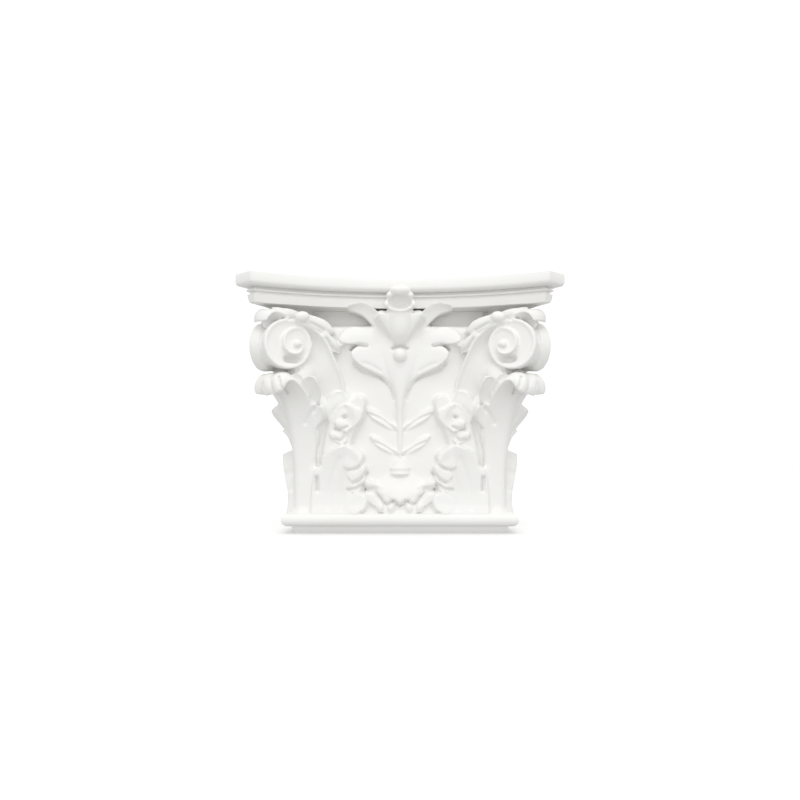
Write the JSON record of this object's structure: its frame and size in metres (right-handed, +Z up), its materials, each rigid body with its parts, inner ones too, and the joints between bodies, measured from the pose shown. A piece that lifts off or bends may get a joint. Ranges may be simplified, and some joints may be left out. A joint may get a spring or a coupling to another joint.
{
  "type": "corinthian pilaster capital",
  "caption": "Moulded white pilaster capital with acanthus leaves, corner volutes, a palm on its bell and a curved abacus with a flower; flat back for a wall.",
  "frame": {"origin": "the middle of the flat underside, which stands on the pilaster shaft", "axes": "+X to the right seen from the front, +Y into the wall behind, so the front faces -Y, +Z up"},
  "size_m": [0.3044, 0.1082, 0.243],
  "materials": {
    "primed_foam": "moulded rigid polyurethane foam, factory primed matt white"
  },
  "bodies": {
    "root": {"pilaster_capital": "primed_foam"}
  },
  "joints": []
}
